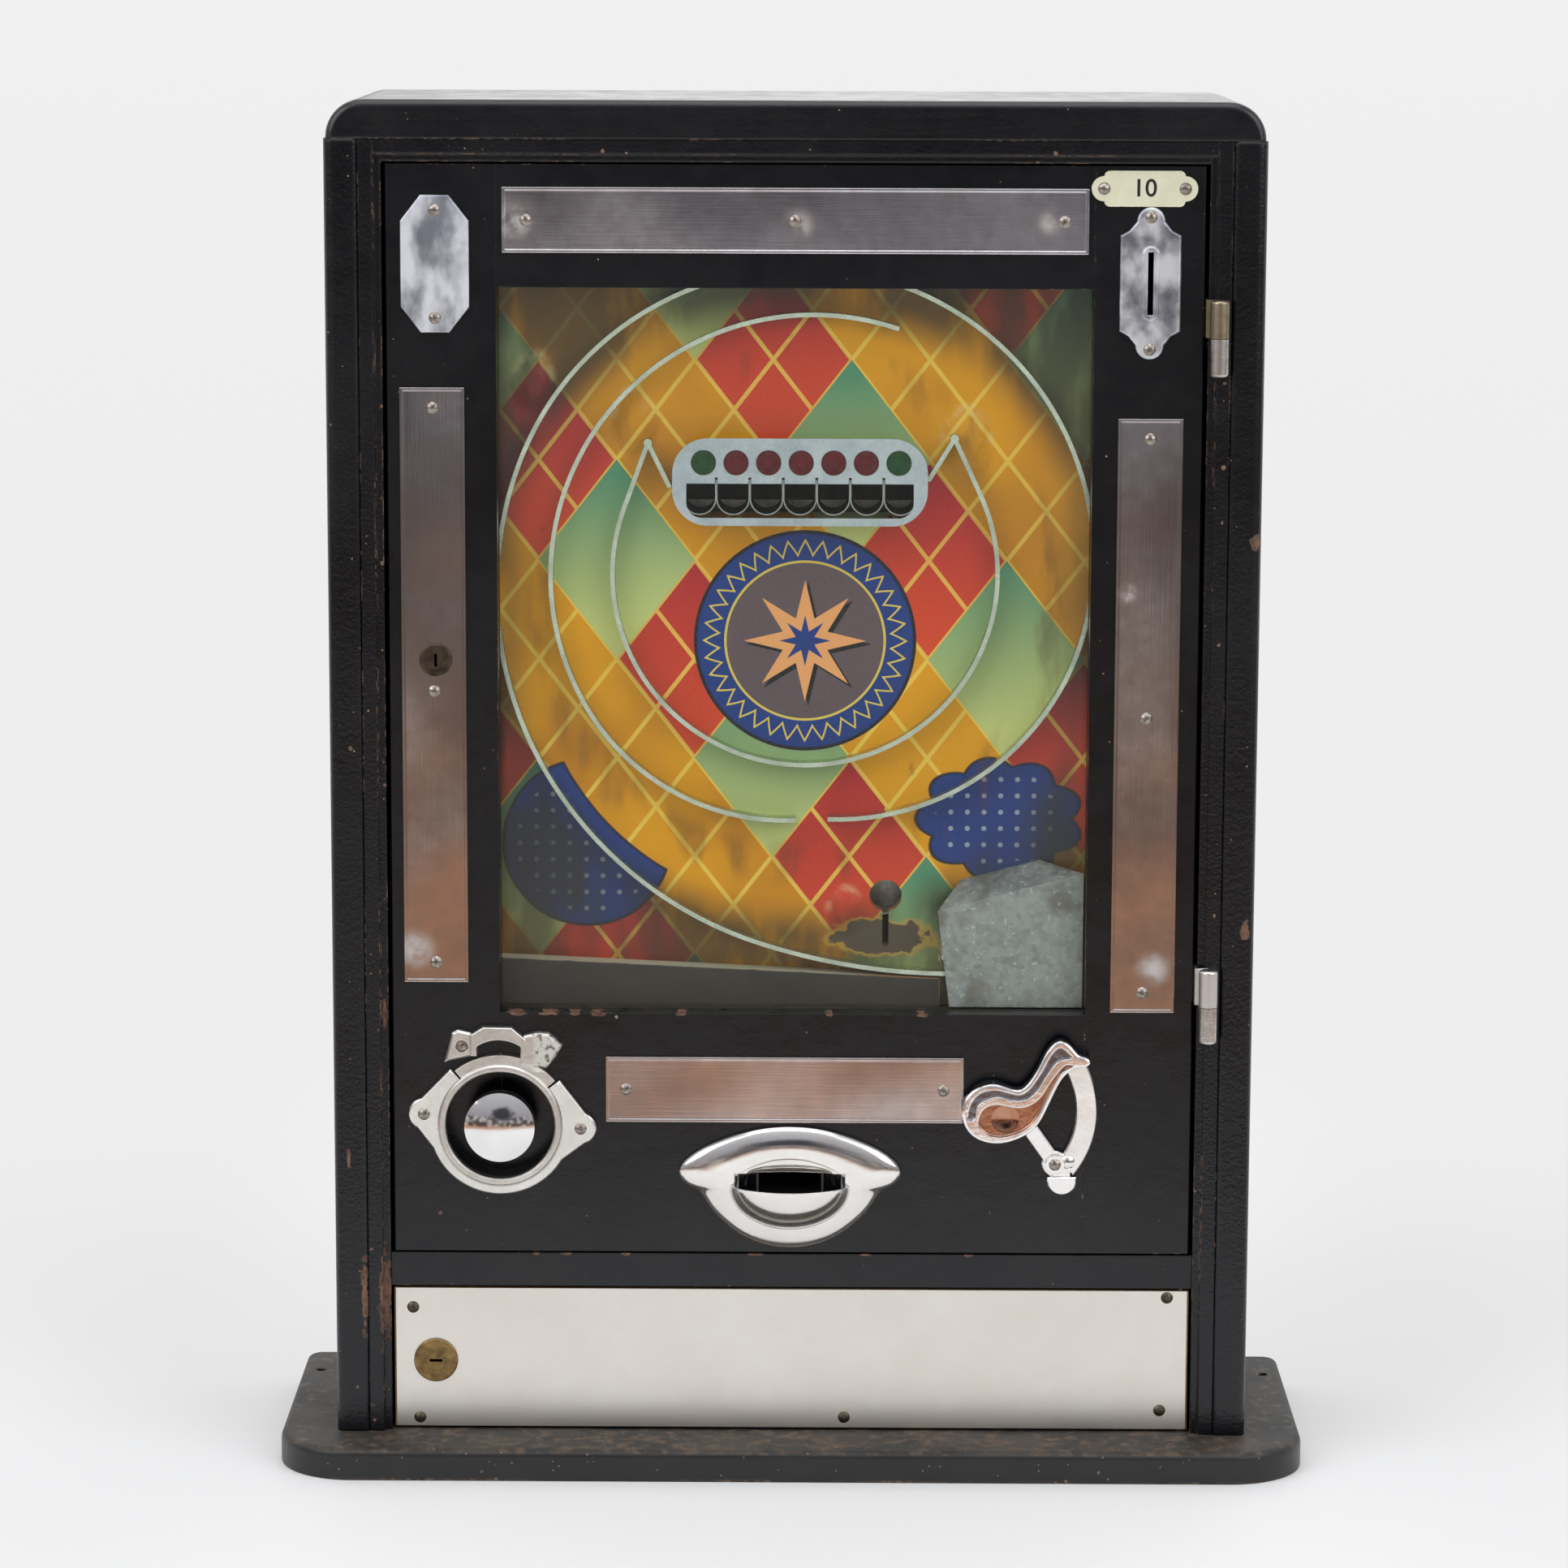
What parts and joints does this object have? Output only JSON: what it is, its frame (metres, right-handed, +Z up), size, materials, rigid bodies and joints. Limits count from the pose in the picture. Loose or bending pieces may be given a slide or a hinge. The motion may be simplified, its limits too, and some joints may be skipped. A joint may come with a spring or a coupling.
{
  "type": "coin-operated pin game",
  "caption": "Wooden coin-operated pin game: glazed front door with a flick lever, payout knob and cup, ball rails with a row of cups, and a cash door below.",
  "frame": {"origin": "middle of the base board's underside", "axes": "+X to the player's right, +Y from the player towards the back, +Z up"},
  "size_m": [0.558, 0.194, 0.7395],
  "materials": {
    "black_paint": "worn black gloss paint over wood",
    "base_paint": "dull dark paint, worn",
    "plain_wood": "plain aged softwood",
    "dark_wood": "dark stained wood",
    "plywood": "plywood, unpainted",
    "window_glass": "clear sheet glass",
    "print_card": "varnished colour print on card",
    "strip_steel": "brushed, smudged",
    "screw_steel": "round-headed, dull",
    "bright_cast": "plated casting, worn bright",
    "rail_metal": "plated strip, dulled",
    "lens_plate": "satin, bevelled",
    "red_glass": "red pressed glass",
    "green_glass": "green pressed glass",
    "galvanised": "mottled zinc-coated sheet",
    "tinned": "folded tinplate",
    "lock_brass": "turned, worn",
    "hinge_metal": "drawn, tarnished",
    "enamel": "vitreous enamel",
    "ball_steel": "polished ball",
    "spring_steel": "oiled wire"
  },
  "bodies": {
    "case": {"base_board": "base_paint", "left_side_board": "black_paint", "right_side_board": "black_paint", "top_board": "black_paint", "back_panel": "plywood", "back_panel_screws": "screw_steel", "door_bead": "black_paint", "lower_rail": "black_paint", "cash_shelf": "plain_wood", "cash_box": "tinned", "hinge_pin_knuckles": "hinge_metal"},
    "shooter": {"shooter_lever": "bright_cast", "hammer": "tinned"},
    "knob": {"payout_knob": "bright_cast", "knob_crank": "tinned"},
    "slide": {"payout_slide": "tinned"},
    "door_lock": {"door_lock_plug": "lock_brass"},
    "cash_lock": {"cash_lock_plug": "lock_brass"},
    "cash_door": {"cash_door_panel": "plain_wood", "cash_door_plate": "strip_steel", "cash_door_fixings": "screw_steel", "cash_lock_barrel": "lock_brass"},
    "ball": {"steel_ball": "ball_steel"},
    "front_door": {"ball_cups": "lens_plate", "ball_gutter": "dark_wood", "ball_return": "tinned", "coin_chute": "tinned", "coin_plate": "bright_cast", "cup_plate": "lens_plate", "door_left_stile": "black_paint", "door_lock_barrel": "lock_brass", "door_lower_panel": "black_paint", "door_right_stile": "black_paint", "door_top_rail": "black_paint", "glass_beads": "plain_wood", "green_lenses": "green_glass", "hammer_cover": "galvanised", "hinge_door_knuckles": "hinge_metal", "inner_rail": "rail_metal", "knob_bracket": "bright_cast", "knob_escutcheon": "bright_cast", "label_plate": "enamel", "lever_quadrant": "bright_cast", "lower_strip": "strip_steel", "mechanism_bracket": "tinned", "octagon_plate": "strip_steel", "outer_rail": "rail_metal", "payout_chute": "tinned", "payout_cup": "bright_cast", "plate_screws": "screw_steel", "playfield_battens": "dark_wood", "playfield_board": "plywood", "playfield_print": "print_card", "red_lenses": "red_glass", "second_rail": "rail_metal", "shaft_bushes": "lock_brass", "shooter_spring": "spring_steel", "side_strips": "strip_steel", "top_strip": "strip_steel", "window_glass": "window_glass"}
  },
  "joints": [
    {"name": "front_door_hinge", "type": "hinge", "parent": "case", "child": "front_door", "pos_m": [0.2235, -0.0671, 0.42], "axis": [0, 0, 1], "range_deg": [0, 110]},
    {"name": "shooter_lever_turn", "type": "hinge", "parent": "front_door", "child": "shooter", "pos_m": [0.1082, -0.056, 0.1981], "axis": [0, 1, 0], "range_deg": [0, 56], "stiffness_Nm_per_rad": 0.4, "springref_deg": -20.05},
    {"name": "payout_knob_turn", "type": "hinge", "parent": "front_door", "child": "knob", "pos_m": [-0.158, -0.056, 0.1887], "axis": [0, 1, 0], "range_deg": [0, 45], "stiffness_Nm_per_rad": 0.2, "springref_deg": -17.19},
    {"name": "payout_slide_travel", "type": "slide", "parent": "front_door", "child": "slide", "axis": [1, 0, 0], "range_m": [0, 0.0352]},
    {"name": "door_lock_turn", "type": "hinge", "parent": "front_door", "child": "door_lock", "pos_m": [-0.191, -0.056, 0.44259], "axis": [0, -1, 0], "range_deg": [0, 90]},
    {"name": "ball_roll", "type": "hinge", "parent": "front_door", "child": "ball", "pos_m": [0.0863, -0.03099, 0.60638], "axis": [0, 1, 0], "range_deg": [0, 17]},
    {"name": "cash_door_hinge", "type": "hinge", "parent": "case", "child": "cash_door", "pos_m": [0.2123, -0.053, 0.058], "axis": [0, 0, 1], "range_deg": [0, 100]},
    {"name": "cash_lock_turn", "type": "hinge", "parent": "cash_door", "child": "cash_lock", "pos_m": [-0.194, -0.056, 0.056], "axis": [0, -1, 0], "range_deg": [0, 90]}
  ],
  "couplings": [
    {"joint": "payout_slide_travel", "follows": "payout_knob_turn", "m_per_rad": 0.044818}
  ]
}
